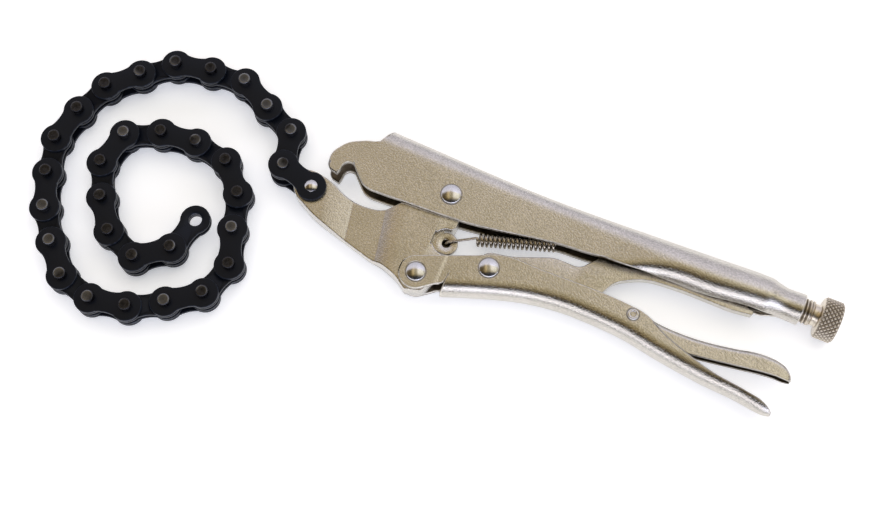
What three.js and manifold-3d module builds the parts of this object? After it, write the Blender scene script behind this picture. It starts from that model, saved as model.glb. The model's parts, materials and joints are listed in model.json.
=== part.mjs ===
// Locking chain clamp: over-centre locking pliers of folded sheet steel with a forged nose,
// and a pin chain that wraps a pipe or workpiece and hooks back into the upper handle.
//
// Millimetres, +Z up. The tool lies on its side: every rivet and chain pin stands along Z, and
// +X runs along the adjusting screw from the hook to the knob. The shapes are drawn about the
// main rivet, halfway through the thickness, and the whole is then moved so that the origin is
// under the middle of its bounding box.

import * as THREE from 'three';
import { mergeVertices } from 'three/addons/utils/BufferGeometryUtils.js';
import Module from 'manifold-3d';

const wasm = await Module();
wasm.setup();

// ---- driving dimensions -------------------------------------------------------------------

const partGap = 0.3;            // clearance between pieces that touch or run together
const sheet = 2.2;              // wall of the folded handles
const channelHalf = 6.5;        // half the outside width of both folded handles
const tubeHalf = 8.4;           // half width of the rolled grip of the upper handle
const slotAngle = 66;           // how far the rolled grip's edges curl under, degrees
const jawHalf = channelHalf - sheet - partGap;      // half thickness of the jaw in the channel
const jawWaistHalf = 2.3;       // half thickness of the jaw's hollowed middle
const earHalf = 1.5;            // half thickness of the spring ear

const chainPitch = 15.875;
const chainLobe = 6.4;          // radius of a link plate about its pin
const chainWaist = 4.5;         // half height of a link plate between its pins
const plateThick = 1.5;
const chainHalf = jawHalf;      // half width over the outer plates
const pinRadius = 2.54;
const pinHalf = 7.1;            // half length of a chain pin
const pinBore = pinRadius + partGap;
const bushRadius = 3.7;

const mainPivot = [0, 0];
const jawPivot = [-0.4, -37.2];
const linkPivot = [26.8, -24.1];
const leverPivot = [88.5, -19.9];
const chainPivot = [-56.1, -19.1];
const springEar = [5.8, -19.6];

const mainRivetRadius = 4.1;
const jawRivetRadius = 3.9;
const linkRivetRadius = 4.0;
const chainRivetRadius = 2.9;
const leverRivetRadius = 2.4;
const leverRivetBore = 1.2;
const rivetProud = 0.6;         // how far a rivet's crown stands out of the sheet

const screwAxis = 10.7;         // height of the screw's axis above the main rivet
const screwRadius = 5.4;
const screwTip = 135;
const neckRadius = 6.8;
const neckStart = 138;
const neckEnd = 152;
const knobRadius = 8.9;
const knobStart = 159.4;
const knobEnd = 167.5;

const linkHalf = 2;             // half thickness of the toggle link
const leverHalf = channelHalf - sheet - 1;          // half width of the release lever
const leverSheet = 1.6;
const springRadius = 3;
const springWire = 0.55;
const springTab = [60, 1.2];    // where the spring hooks to the upper handle
const springCoil = [[17, -12.6], [49, -2.1]];       // the coil's two ends
const hookSeat = [-44.7, -6.0]; // middle of the notch that a chain pin drops into
const hookSeatRadius = pinRadius + 0.25;

// Bend at each chain pin as the chain lies coiled, degrees, and the first link's heading.
const firstHeading = 163;
const chainBends = [
  -60, 52, -2, 30, 8, 29, 4, 25, 11, 25, 9, 14, 6, 30, 26,
  20, 6, 37, 38, -4, 27, 35, 17, 19, 54, 38, 12, 28, 60, 41,
];

// ---- materials ----------------------------------------------------------------------------

const finishes = {
  satinNickel: { color: 0xb3aa98, roughness: 0.42, metalness: 1 },
  brightNickel: { color: 0xd8d4cc, roughness: 0.15, metalness: 1 },
  blackOxide: { color: 0x1b1e25, roughness: 0.45, metalness: 0.8 },
  springSteel: { color: 0x8d8a84, roughness: 0.3, metalness: 1 },
};

// ---- small geometry tools -----------------------------------------------------------------

function toSolid(geometry) {
  const bare = geometry.clone();
  bare.deleteAttribute('normal');
  bare.deleteAttribute('uv');
  const merged = mergeVertices(bare, 1e-4);
  return new wasm.Manifold(new wasm.Mesh({
    numProp: 3,
    vertProperties: new Float32Array(merged.attributes.position.array),
    triVerts: new Uint32Array(merged.index.array),
  }));
}

function toGeometry(solid) {
  const mesh = solid.getMesh();
  const geometry = new THREE.BufferGeometry();
  geometry.setAttribute('position', new THREE.BufferAttribute(mesh.vertProperties, 3));
  geometry.setIndex(new THREE.BufferAttribute(mesh.triVerts, 1));
  geometry.computeVertexNormals();
  return geometry;
}

const radians = THREE.MathUtils.degToRad;
const join = (...solids) => solids.reduce((a, b) => a.add(b));
const cut = (solid, ...tools) => tools.reduce((a, b) => a.subtract(b), solid);

// A closed outline from corners [x, y, radius]; a corner with a radius is rounded, and the
// rounding takes no more than its share of the shorter edge beside it.
function outline(corners) {
  const points = corners.map(([x, y]) => new THREE.Vector2(x, y));
  const shape = new THREE.Shape();
  points.forEach((here, i) => {
    const before = points.at(i - 1);
    const after = points[(i + 1) % points.length];
    const room = 0.48 * Math.min(here.distanceTo(before), here.distanceTo(after));
    const radius = Math.min(corners[i][2] ?? 0, room);
    const towards = (other) => other.clone().sub(here).setLength(radius).add(here);
    const [enter, leave] = [towards(before), towards(after)];
    if (i === 0) shape.moveTo(enter.x, enter.y);
    else shape.lineTo(enter.x, enter.y);
    if (radius > 0) shape.quadraticCurveTo(here.x, here.y, leave.x, leave.y);
  });
  shape.closePath();
  return shape;
}

// A flat plate of an outline, from one height to another.
function plate(shape, low, high, curveSegments = 3) {
  const depth = high - low;
  const geometry = new THREE.ExtrudeGeometry(shape, { depth, curveSegments, bevelEnabled: false });
  return toSolid(geometry.translate(0, 0, low));
}

// An upright cylinder on a pivot.
function post([x, y], radius, low, high, sides = 16) {
  const geometry = new THREE.CylinderGeometry(radius, radius, high - low, sides);
  geometry.rotateX(Math.PI / 2).translate(x, y, (low + high) / 2);
  return toSolid(geometry);
}

// A solid of revolution about the Z axis from [radius, height] pairs.
function turned(profile, sides = 16) {
  const points = profile.map(([r, z]) => new THREE.Vector2(r, z));
  return new THREE.LatheGeometry(points, sides).rotateX(Math.PI / 2);
}

// A folded channel that opens downwards: U sections carried along X. Each station gives the
// height of the fold's back, the height where the straight cheeks end, the half width, and
// how far the edges curl under. A section is an outer line and an inner line one wall inside.
function channel(stations, wall) {
  const foldSteps = 8;
  const curlSteps = 3;
  const line = ({ x, back, leg, half, curl }, inset) => {
    const radius = half - inset;
    const bend = radians(curl);
    const points = [];
    const add = (centre, angle) => {
      points.push([x, centre + radius * Math.sin(angle), radius * Math.cos(angle)]);
    };
    for (let i = 0; i < curlSteps; i += 1) add(leg, -bend * (1 - i / curlSteps));
    add(leg, 0);
    for (let i = 0; i <= foldSteps; i += 1) add(back - half, Math.PI * i / foldSteps);
    add(leg, Math.PI);
    for (let i = 1; i <= curlSteps; i += 1) add(leg, Math.PI + bend * i / curlSteps);
    return points;
  };
  const positions = [];
  stations.forEach((station) => positions.push(...line(station, 0), ...line(station, wall)));
  const count = line(stations[0], 0).length;
  const ring = 2 * count;
  const indices = [];
  const quad = (a, b, c, d) => indices.push(a, c, b, a, d, c);
  for (let s = 0; s + 1 < stations.length; s += 1) {
    const here = s * ring;
    const next = here + ring;
    for (let i = 0; i + 1 < count; i += 1) {
      quad(here + i, here + i + 1, next + i + 1, next + i);
      quad(next + count + i, next + count + i + 1, here + count + i + 1, here + count + i);
    }
    quad(here + count, here, next, next + count);
    quad(here + count - 1, here + ring - 1, next + ring - 1, next + count - 1);
  }
  const last = (stations.length - 1) * ring;
  for (let i = 0; i + 1 < count; i += 1) {
    quad(count + i, count + i + 1, i + 1, i);
    quad(last + i, last + i + 1, last + count + i + 1, last + count + i);
  }
  const geometry = new THREE.BufferGeometry();
  geometry.setAttribute('position', new THREE.Float32BufferAttribute(positions.flat(), 3));
  geometry.setIndex(indices);
  return toSolid(geometry);
}

// ---- pliers -------------------------------------------------------------------------------

const deep = 20;                // beyond every piece along Z, for cutting tools
const openLeg = -14;            // below every cheek edge of the open channel

function upperHandle() {
  const open = { leg: openLeg, half: channelHalf, curl: 2 };
  const rolled = { half: tubeHalf, curl: slotAngle };
  const mouth = { half: tubeHalf - 0.2, curl: slotAngle };
  const body = channel([
    { x: -58, back: 19.2, ...open },
    { x: -35, back: 19, ...open },
    { x: 5, back: 17.3, ...open },
    { x: 40, back: 16.3, ...open },
    { x: 70, back: 16.8, ...open },
    { x: 78, back: 17, leg: 1.4, half: channelHalf + 0.6, curl: 20 },
    { x: 86, back: 17.3, leg: 4.8, half: tubeHalf - 0.6, curl: 45 },
    { x: 96, back: 17.6, leg: 7.6, ...rolled },
    { x: 116, back: 18.3, leg: 8.7, ...rolled },
    { x: neckStart - 1, back: screwAxis + mouth.half, leg: screwAxis - 0.3, ...mouth },
  ], sheet);
  const side = outline([
    [160, 30], [-34.6, 30], [-35.4, 17.6, 1], [-37.8, 12.4, 2], [-42.2, 9.2, 2],
    [-49.8, 5.4, 3], [-54.4, -1.4, 4], [-53.8, -8.4, 3.4], [-47.9, -10.2, 0.6],
    [hookSeat[0] - hookSeatRadius, hookSeat[1]],
    ...[150, 120, 90, 60, 35].map((angle) => [
      hookSeat[0] + hookSeatRadius * Math.cos(radians(angle)),
      hookSeat[1] + hookSeatRadius * Math.sin(radians(angle)),
    ]),
    [-37.8, -9, 1.5], [-33.4, -11.2, 2.5], [-18, -10.7], [9, -9.3], [50, -3], [67, -1.6],
    [78, -1.2], [84, -6], [160, -6],
  ]);
  const tab = toSolid(new THREE.BoxGeometry(2, 15, 3).translate(springTab[0] + 1, 8, 0));
  const neckProfile = [
    [screwRadius + partGap, neckStart - 3], [tubeHalf - 0.6, neckStart - 3],
    [tubeHalf - 0.2, neckStart], [neckRadius, neckStart + 3], [neckRadius, neckEnd - 0.8],
    [neckRadius - 0.6, neckEnd], [screwRadius + partGap, neckEnd],
    [screwRadius + partGap, neckStart - 3],
  ];
  const neck = turned(neckProfile, 20).rotateY(Math.PI / 2).translate(0, screwAxis, 0);
  const cheeks = body.intersect(plate(side, -deep, deep));
  const bore = post(mainPivot, mainRivetRadius + partGap, -deep, deep);
  return cut(join(cheeks, tab, toSolid(neck)), bore);
}

function lowerHandle() {
  // Drawn upside down, because channel() puts the fold on top, then turned over about X.
  const open = { leg: 8, half: channelHalf, curl: 2 };
  const body = channel([
    { x: -12, back: 56, ...open },
    { x: 11, back: 52, ...open },
    { x: 12, back: 41.6, ...open },
    { x: 23, back: 37.5, ...open },
    { x: 44, back: 31, ...open },
    { x: 60, back: 28.7, ...open },
    { x: 74, back: 28.6, ...open },
    { x: 87, back: 29.4, ...open },
    { x: 105, back: 32.5, ...open },
    { x: 123, back: 34.9, ...open },
    { x: 140, back: 36, ...open, half: channelHalf - 0.4 },
    { x: 154, back: 37, ...open, half: channelHalf - 1.6 },
  ], sheet).rotate([180, 0, 0]);
  const lobe = 7.2;
  const side = new THREE.Shape();
  side.absarc(...jawPivot, lobe, Math.PI * 0.63, Math.PI * 1.72, false);
  const edge = [
    [9, -39], [11.8, -41.2], [12.2, -50], [154, -50], [153.4, -36.4], [151.6, -34.4],
    [141.4, -31.8], [125, -29.7], [113.8, -26.6], [103, -22.6], [95, -18], [88, -16.5],
    [31.5, -16.3], [29.5, -16.7],
  ];
  edge.forEach(([x, y]) => side.lineTo(x, y));
  side.closePath();
  const shell = body.intersect(plate(side, -deep, deep, 14));
  return cut(
    shell,
    post(jawPivot, jawRivetRadius + partGap, -deep, deep),
    post(linkPivot, linkRivetRadius + partGap, -deep, deep),
    post(leverPivot, leverRivetRadius + partGap, -deep, deep, 12),
  );
}

// The jaw is a forging: full thickness at the rivets and the nose, hollowed between them.
function lowerJaw() {
  const side = outline([
    [-57.5, -11.6, 3], [-49, -13.2, 3], [-40.5, -17.3, 4], [-31.7, -17.9, 4], [-24, -16.6, 4],
    [-16, -8, 4], [-9.6, 0, 4], [-8, 8.4, 4], [4, 9.8, 4], [9, 3, 4], [7.4, -8, 2],
    [7.2, -14.6, 1], [10.2, -16.4, 2], [10.4, -23, 2], [7.6, -26, 1], [7.4, -38, 4],
    [4.6, -43.6, 3], [-2.4, -45.6, 3], [-8, -41.4, 3], [-15.5, -39, 3], [-20, -39.2, 2],
    [-50.1, -30.4, 3], [-61.2, -24.7, 3], [-64.8, -18.6, 3], [-63, -12, 3],
  ]);
  // Half thickness against distance across the creases, measured from the main rivet.
  const creaseTilt = 11.3;
  const waist = [[-26.1, jawWaistHalf], [-40.3, jawWaistHalf]];
  const upper = [
    [30, jawHalf], [-18.5, jawHalf], [-22, jawHalf - 0.45], ...waist,
    [-40.6, jawWaistHalf + 0.4], [-45, jawHalf - 0.55], [-51, jawHalf], [-80, jawHalf],
  ];
  const lower = upper.map(([s, z]) => [s, -z]).reverse();
  const across = { depth: 160, bevelEnabled: false };
  const section = new THREE.ExtrudeGeometry(outline([...upper, ...lower]), across);
  section.translate(0, 0, -across.depth / 2).rotateX(Math.PI / 2);
  section.rotateZ(radians(creaseTilt));
  const body = plate(side, -deep, deep).intersect(toSolid(section));
  const recess = 5.6;
  return cut(
    body,
    post(springEar, recess, earHalf, deep, 12),
    post(springEar, recess, -deep, -earHalf, 12),
    post(springEar, 1.3, -deep, deep, 8),
    post(mainPivot, mainRivetRadius + partGap, -deep, deep),
    post(jawPivot, jawRivetRadius + partGap, -deep, deep),
    post(chainPivot, chainRivetRadius + partGap, -deep, deep, 12),
  );
}

// The toggle link runs from the lower handle up into the rolled grip, where the screw bears on it.
function toggleLink() {
  const side = outline([
    [19.4, -24, 5], [22.5, -16.4, 4], [33, -14.6, 3], [50, -7.9, 3], [61.4, -8.2, 3],
    [66.2, -2, 2], [72, 4, 4], [86, 8.5, 5], [131, 10.5, 1], [131, 2.4, 1], [134, 2, 0.5],
    [134, -0.2, 0.5], [125, -1.3, 2], [104, -1, 8], [88, -2.2, 6], [76.6, -8.6, 4],
    [71.5, -19.5, 3], [61, -24, 5], [34, -29.6, 4], [26, -32, 4], [20.2, -29.6, 4],
  ]);
  return cut(
    plate(side, -linkHalf, linkHalf),
    post(linkPivot, linkRivetRadius + partGap, -deep, deep),
  );
}

// The release lever is a small channel inside the lower handle, its fold towards the palm.
function releaseLever() {
  const side = outline([
    [79.5, -18, 2], [90, -16.9, 2], [99.5, -18.2, 3], [116.6, -18.3, 6], [133, -16, 6],
    [144, -13.6, 4], [153, -15, 3], [157, -18.6, 1.5], [156, -21.2, 1], [150, -19.8, 3],
    [135, -22.9, 6], [114.1, -25.9, 6], [100, -26.4, 4], [86, -24.8, 3], [79.5, -23.8, 1.5],
  ]);
  const hollow = outline([
    [78, -19.8], [90, -18.6], [99.5, -19.8], [116.6, -19.9], [133, -17.6], [140, -16.2],
    [140, -30], [78, -30],
  ]);
  const inner = leverHalf - leverSheet;
  return cut(
    plate(side, -leverHalf, leverHalf, 2),
    plate(hollow, -inner, inner),
    post(leverPivot, leverRivetRadius + partGap, -deep, deep, 12),
  );
}

// A rivet with a low crown at each end, the crown no wider than the shank.
function rivet(radius, half, sides = 16) {
  const shoulder = [[radius, half], [radius * 0.72, half + rivetProud * 0.75]];
  const underside = shoulder.map(([r, z]) => [r, -z]).reverse();
  return turned([
    [0, -half - rivetProud], ...underside, ...shoulder, [0, half + rivetProud],
  ], sides);
}

function hollowRivet(radius, bore, half) {
  const profile = [[bore, -half], [radius, -half], [radius, half], [bore, half], [bore, -half]];
  return turned(profile, 12);
}

function adjustingScrew() {
  const tipRadius = 3;
  const shoulder = neckEnd + 3;
  return turned([
    [0, screwTip], [tipRadius, screwTip], [screwRadius, screwTip + 2.4],
    [screwRadius, shoulder], [screwRadius + 0.3, shoulder + 0.4],
    [screwRadius + 0.3, knobStart - partGap], [0, knobStart - partGap],
  ], 20).rotateY(Math.PI / 2);
}

function screwKnob() {
  const chamfer = 0.9;
  return turned([
    [0, knobStart], [knobRadius - chamfer, knobStart], [knobRadius, knobStart + chamfer],
    [knobRadius, knobEnd - chamfer], [knobRadius - chamfer, knobEnd], [0, knobEnd],
  ], 24).rotateY(Math.PI / 2);
}

// The return spring: its coil as one plain roll, with the two hooked wire ends.
function returnSpring() {
  const [front, rear] = springCoil.map(([x, y]) => new THREE.Vector3(x, y, 0));
  const length = front.distanceTo(rear);
  const roll = new THREE.CylinderGeometry(springRadius, springRadius, length, 12);
  roll.rotateZ(-Math.PI / 2).rotateZ(Math.atan2(rear.y - front.y, rear.x - front.x));
  roll.translate((front.x + rear.x) / 2, (front.y + rear.y) / 2, 0);
  const wire = (points) => {
    const path = new THREE.CatmullRomCurve3(points.map((p) => new THREE.Vector3(...p)));
    const ring = new THREE.Shape().absarc(0, 0, springWire, 0, 2 * Math.PI, false);
    return toSolid(new THREE.ExtrudeGeometry(ring, {
      steps: 10, curveSegments: 3, bevelEnabled: false, extrudePath: path,
    }));
  };
  const [x, y] = springEar;
  const frontHook = wire([
    [front.x + 1, front.y + 0.3, 2], [x + 4, y + 3.4, 2.6], [x + 0.4, y + 0.4, 1.8],
    [x - 0.2, y - 0.1, -0.6], [x + 0.6, y + 0.3, -2.4],
  ]);
  const rearHook = wire([
    [rear.x - 1, rear.y - 0.3, 2], [rear.x + 4, rear.y + 1.6, 2.4],
    [springTab[0] + 3, springTab[1] + 1, 2.4], [springTab[0] + 3.4, springTab[1] + 1.2, 1.2],
  ]);
  return join(toSolid(roll), frontHook, rearHook);
}

// ---- chain --------------------------------------------------------------------------------

// A waisted link plate between two pins, the first at the origin and the second along +X.
function linkPlate(low, high) {
  const shape = new THREE.Shape();
  const open = radians(50);         // from the link's line to where each lobe meets the waist
  shape.absarc(0, 0, chainLobe, open, 2 * Math.PI - open, false);
  shape.lineTo(chainPitch / 2, -chainWaist);
  shape.absarc(chainPitch, 0, chainLobe, Math.PI + open, 3 * Math.PI - open, false);
  shape.lineTo(chainPitch / 2, chainWaist);
  return plate(shape, low, high, 6);
}

const pinSides = 8;
// A many-sided bore is drawn larger, so that its flats and not its corners are at pinBore.
const boreCorner = pinBore / Math.cos(Math.PI / pinSides);

function outerLink() {
  const plates = [[chainHalf - plateThick, chainHalf], [-chainHalf, plateThick - chainHalf]];
  const pins = [0, chainPitch].map((x) => post([x, 0], pinRadius, -pinHalf, pinHalf, pinSides));
  return join(...plates.map(([low, high]) => linkPlate(low, high)), ...pins);
}

function innerLink() {
  const high = chainHalf - plateThick - partGap;
  const low = high - plateThick;
  const body = [linkPlate(low, high), linkPlate(-high, -low)];
  const bushes = [0, chainPitch].map((x) => post([x, 0], bushRadius, -low - 0.2, low + 0.2, pinSides));
  const bores = [0, chainPitch].map((x) => post([x, 0], boreCorner, -deep, deep, pinSides));
  return cut(join(...body, ...bushes), ...bores);
}

// The nose link's plates lie outside the jaw and outside the first chain link.
const noseLow = jawHalf + partGap;
const noseHigh = noseLow + plateThick;

function noseLinkPlate(low, high) {
  return cut(
    linkPlate(low, high),
    post([0, 0], chainRivetRadius + partGap, -deep, deep, 12),
    post([chainPitch, 0], boreCorner, -deep, deep, pinSides),
  );
}

// Where each pin lies, and the heading of the link that leaves it, in order from the nose.
function chainLay() {
  const lay = [];
  let [x, y] = chainPivot;
  let heading = firstHeading;
  for (const bend of [...chainBends, 0]) {
    lay.push({ x, y, heading });
    const angle = radians(heading);
    x += chainPitch * Math.cos(angle);
    y += chainPitch * Math.sin(angle);
    heading += bend;
  }
  return lay;
}

// ---- assembly -----------------------------------------------------------------------------

const tool = new THREE.Group();

function place(parent, name, shape, finish, [x, y] = [0, 0], turn = 0) {
  const geometry = shape.isBufferGeometry ? shape : toGeometry(shape);
  const mesh = new THREE.Mesh(geometry, new THREE.MeshStandardMaterial(finishes[finish]));
  mesh.name = name;
  mesh.position.set(x, y, 0);
  mesh.rotation.z = radians(turn);
  parent.add(mesh);
}

const pliers = new THREE.Group();
tool.add(pliers);
place(pliers, 'upper_handle', upperHandle(), 'satinNickel');
place(pliers, 'lower_handle', lowerHandle(), 'satinNickel');
place(pliers, 'lower_jaw', lowerJaw(), 'satinNickel');
place(pliers, 'toggle_link', toggleLink(), 'satinNickel');
place(pliers, 'release_lever', releaseLever(), 'satinNickel');
place(pliers, 'main_rivet', rivet(mainRivetRadius, channelHalf), 'brightNickel', mainPivot);
place(pliers, 'jaw_rivet', rivet(jawRivetRadius, channelHalf), 'brightNickel', jawPivot);
place(pliers, 'link_rivet', rivet(linkRivetRadius, channelHalf), 'brightNickel', linkPivot);
const leverRivet = hollowRivet(leverRivetRadius, leverRivetBore, channelHalf + 0.2);
place(pliers, 'release_lever_rivet', leverRivet, 'brightNickel', leverPivot);
place(pliers, 'adjusting_screw', adjustingScrew(), 'satinNickel', [0, screwAxis]);
place(pliers, 'screw_knob', screwKnob(), 'satinNickel', [0, screwAxis]);
place(pliers, 'return_spring', returnSpring(), 'springSteel');

const chain = new THREE.Group();
tool.add(chain);
const lay = chainLay();
const outer = toGeometry(outerLink());
const inner = toGeometry(innerLink());
lay.forEach(({ x, y, heading }, i) => {
  if (i === 0) {
    place(chain, 'nose_link_top', noseLinkPlate(noseLow, noseHigh), 'blackOxide', [x, y], heading);
    place(chain, 'nose_link_bottom', noseLinkPlate(-noseHigh, -noseLow), 'blackOxide', [x, y], heading);
    place(chain, 'nose_link_rivet', rivet(chainRivetRadius, noseHigh - 0.4, 12), 'brightNickel', [x, y]);
    return;
  }
  const kind = i % 2 ? 'outer' : 'inner';
  const name = `chain_${kind}_link_${String(i).padStart(2, '0')}`;
  place(chain, name, kind === 'outer' ? outer : inner, 'blackOxide', [x, y], heading);
});

// Stand the part on the ground with its origin under the middle of its bounding box.
const box = new THREE.Box3().setFromObject(tool);
const middle = box.getCenter(new THREE.Vector3());
tool.position.set(-middle.x, -middle.y, -box.min.z);
const part = new THREE.Group();
part.add(tool);

export default part;
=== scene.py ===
import json
import math

import bpy
import numpy as np
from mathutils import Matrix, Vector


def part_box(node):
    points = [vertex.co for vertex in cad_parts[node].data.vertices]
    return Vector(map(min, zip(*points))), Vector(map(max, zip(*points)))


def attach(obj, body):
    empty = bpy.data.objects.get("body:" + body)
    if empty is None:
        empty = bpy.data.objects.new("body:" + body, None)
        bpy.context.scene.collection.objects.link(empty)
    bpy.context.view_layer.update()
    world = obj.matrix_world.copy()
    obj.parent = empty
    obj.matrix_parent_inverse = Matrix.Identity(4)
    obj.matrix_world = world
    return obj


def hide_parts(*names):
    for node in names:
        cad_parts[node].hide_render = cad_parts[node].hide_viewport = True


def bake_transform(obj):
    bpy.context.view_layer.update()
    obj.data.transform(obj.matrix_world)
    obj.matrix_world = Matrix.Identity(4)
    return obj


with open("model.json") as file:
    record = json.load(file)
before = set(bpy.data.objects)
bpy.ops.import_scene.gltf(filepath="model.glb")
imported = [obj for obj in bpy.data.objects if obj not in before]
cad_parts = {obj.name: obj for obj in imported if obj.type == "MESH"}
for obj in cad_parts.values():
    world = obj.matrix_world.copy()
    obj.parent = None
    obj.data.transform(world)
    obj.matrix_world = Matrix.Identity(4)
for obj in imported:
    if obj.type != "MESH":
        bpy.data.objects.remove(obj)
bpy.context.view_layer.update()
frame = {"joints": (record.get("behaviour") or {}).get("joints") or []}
print("frame loaded")

# Every shape is drawn in millimetres about the main rivet, halfway through the tool's thickness,
# with x along the adjusting screw and z along the rivets, and then set on the main rivet.
rivetLow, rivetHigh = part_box("main_rivet")
toolOrigin = (np.array(rivetLow) + np.array(rivetHigh)) / 2
mm = 0.001


def jointAt(name):
    # where a joint's axis crosses the tool's middle plane, in the tool's own millimetres
    joint = next(j for j in frame["joints"] if j["name"] == name)
    return (np.array(joint["pos_m"]) - toolOrigin)[:2] / mm


def inFrame(point):
    # the tool's own millimetres to the frame's metres
    return tuple(np.array(point) * mm + toolOrigin)


# curves

def throughKnots(x, knots):
    # Smooth curve through (x, y) knots: cubic pieces whose slope at a knot is that of its neighbours
    knotX, knotY = np.array(knots, float).T
    slope = np.gradient(knotY, knotX)
    i = np.clip(np.searchsorted(knotX, x) - 1, 0, len(knotX) - 2)
    width = knotX[i + 1] - knotX[i]
    t = np.clip((x - knotX[i]) / width, 0, 1)
    return ((1 + 2 * t) * (1 - t) ** 2 * knotY[i] + t * (1 - t) ** 2 * width * slope[i]
            + t * t * (3 - 2 * t) * knotY[i + 1] + t * t * (t - 1) * width * slope[i + 1])


def roundedPath(corners, closed=False, steps=7):
    # Straight runs between (x, y, radius) corners, each corner a parabola that starts and ends
    # one radius away from it, or half an edge where the edge is shorter
    corners = [(c[0], c[1], c[2] if len(c) > 2 else 0) for c in corners]
    points = []
    last = len(corners) - 1
    t = np.linspace(0, 1, steps)[:, None]
    for i, (x, y, radius) in enumerate(corners):
        here = np.array([x, y])
        if radius == 0 or (not closed and i in (0, last)):
            points.append(here[None])
            continue
        before = np.array(corners[i - 1][:2]) - here
        after = np.array(corners[(i + 1) % len(corners)][:2]) - here
        reach = min(radius, 0.48 * np.linalg.norm(before), 0.48 * np.linalg.norm(after))
        enter = here + before / np.linalg.norm(before) * reach
        leave = here + after / np.linalg.norm(after) * reach
        points.append((1 - t) ** 2 * enter + 2 * t * (1 - t) * here + t * t * leave)
    return np.concatenate(points)


def evenly(path, count, closed=False):
    # The same path in equal steps of its own length
    if closed:
        path = np.vstack([path, path[:1]])
    run = np.concatenate([[0], np.cumsum(np.linalg.norm(np.diff(path, axis=0), axis=1))])
    at = np.linspace(0, run[-1], count + 1 if closed else count)
    even = np.stack([np.interp(at, run, path[:, k]) for k in range(path.shape[1])], 1)
    return even[:-1] if closed else even


def smoothRun(points, steps=8):
    # Smooth curve in space: a parabola at each point, from the middle of the run before it to
    # the middle of the run after it
    p = np.array(points, float)
    middle = (p[1:] + p[:-1]) / 2
    t = np.linspace(0, 1, steps)[:, None]
    bends = [(1 - t) ** 2 * a + 2 * t * (1 - t) * b + t * t * c
             for a, b, c in zip(middle[:-1], p[1:-1], middle[1:])]
    return np.vstack([p[:1], *bends, p[-1:]])


def arc(centre, radius, start, end, count):
    # points at equal turns of a circle, the angles in degrees
    angle = np.radians(np.linspace(start, end, count))
    return np.array(centre) + radius * np.stack([np.cos(angle), np.sin(angle)], 1)


# meshes

def gridFaces(rows, columns, closeRows=False, closeColumns=False, first=0):
    # Quads between neighbouring points of a grid whose points are numbered row by row
    r = np.arange(rows if closeRows else rows - 1)[:, None]
    c = np.arange(columns if closeColumns else columns - 1)[None, :]
    nextRow, nextColumn = (r + 1) % rows, (c + 1) % columns
    quads = np.stack([r * columns + c, r * columns + nextColumn,
                      nextRow * columns + nextColumn, nextRow * columns + c], -1)
    return quads.reshape(-1, 4) + first


def endCaps(rows, columns):
    # the flat faces that close the first and the last row of a tube
    return [np.arange(columns)[::-1], np.arange(columns) + (rows - 1) * columns]


class Shell:
    # Points and faces gathered from several surfaces, each with its material's number
    def __init__(self):
        self.points, self.faces, self.slots, self.edge = [], [], [], []
        self.count = 0

    def add(self, points, quads, slot=0, edge=None, caps=()):
        points = np.asarray(points, float).reshape(-1, 3)
        self.points.append(points)
        self.edge.append(np.zeros(len(points)) if edge is None else np.asarray(edge, float).ravel())
        faces = (quads + self.count).tolist() + [(cap + self.count).tolist() for cap in caps]
        self.faces += faces
        self.slots += [slot] * len(faces)
        self.count += len(points)

    def piece(self, name, body, materials, nodes=(), slot="satin_nickel", turn=0.0, at=(0.0, 0.0)):
        points = np.concatenate(self.points)
        c, s = math.cos(turn), math.sin(turn)
        turned = points @ np.array([[c, s, 0], [-s, c, 0], [0, 0, 1]]) + [at[0], at[1], 0]
        mesh = bpy.data.meshes.new(name)
        mesh.from_pydata((turned * mm + toolOrigin).tolist(), [], self.faces)
        mesh.polygons.foreach_set("material_index", self.slots)
        attribute = mesh.attributes.new("edge", "FLOAT", "POINT")
        attribute.data.foreach_set("value", np.concatenate(self.edge))
        for material in materials:
            mesh.materials.append(material)
        mesh.shade_smooth()
        mesh.update()
        piece = bpy.data.objects.new(name, mesh)
        bpy.context.scene.collection.objects.link(piece)
        if body:
            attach(piece, body)
        if nodes:
            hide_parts(*nodes)
        return piece


def turnedSurface(shell, profile, centre=(0, 0, 0), sides=48, slot=0, edge=None):
    # Profile of (radius, height) turned once round an upright axis, its ends closed by flat faces
    radius, height = np.array(profile, float).T
    angle = np.linspace(0, 2 * np.pi, sides, endpoint=False)
    across, up = radius[:, None] * np.cos(angle), radius[:, None] * np.sin(angle)
    along = np.repeat(height[:, None], sides, 1)
    points = np.stack([across, up, along], -1)
    rings = len(profile)
    edges = None if edge is None else np.repeat(np.array(edge, float)[:, None], sides, 1)
    shell.add(points.reshape(-1, 3) + centre, gridFaces(rings, sides, closeColumns=True), slot, edges,
              endCaps(rings, sides))


def turnedRing(shell, ring, centre, sides=32, slot=0):
    # Short tube: a closed section of (radius, height) turned once round its axis
    radius, height = np.array(ring).T
    angle = np.linspace(0, 2 * np.pi, sides, endpoint=False)
    points = np.stack([radius[:, None] * np.cos(angle), radius[:, None] * np.sin(angle),
                       np.repeat(height[:, None], sides, 1)], -1)
    shell.add(points.reshape(-1, 3) + centre, gridFaces(len(ring), sides, True, True), slot)


def inset(outline, distance):
    # A closed outline moved inwards along its own normals
    ahead, behind = np.roll(outline, -1, 0), np.roll(outline, 1, 0)
    along = ahead - behind
    along /= np.linalg.norm(along, axis=1)[:, None]
    return outline + distance * np.stack([-along[:, 1], along[:, 0]], 1)


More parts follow.
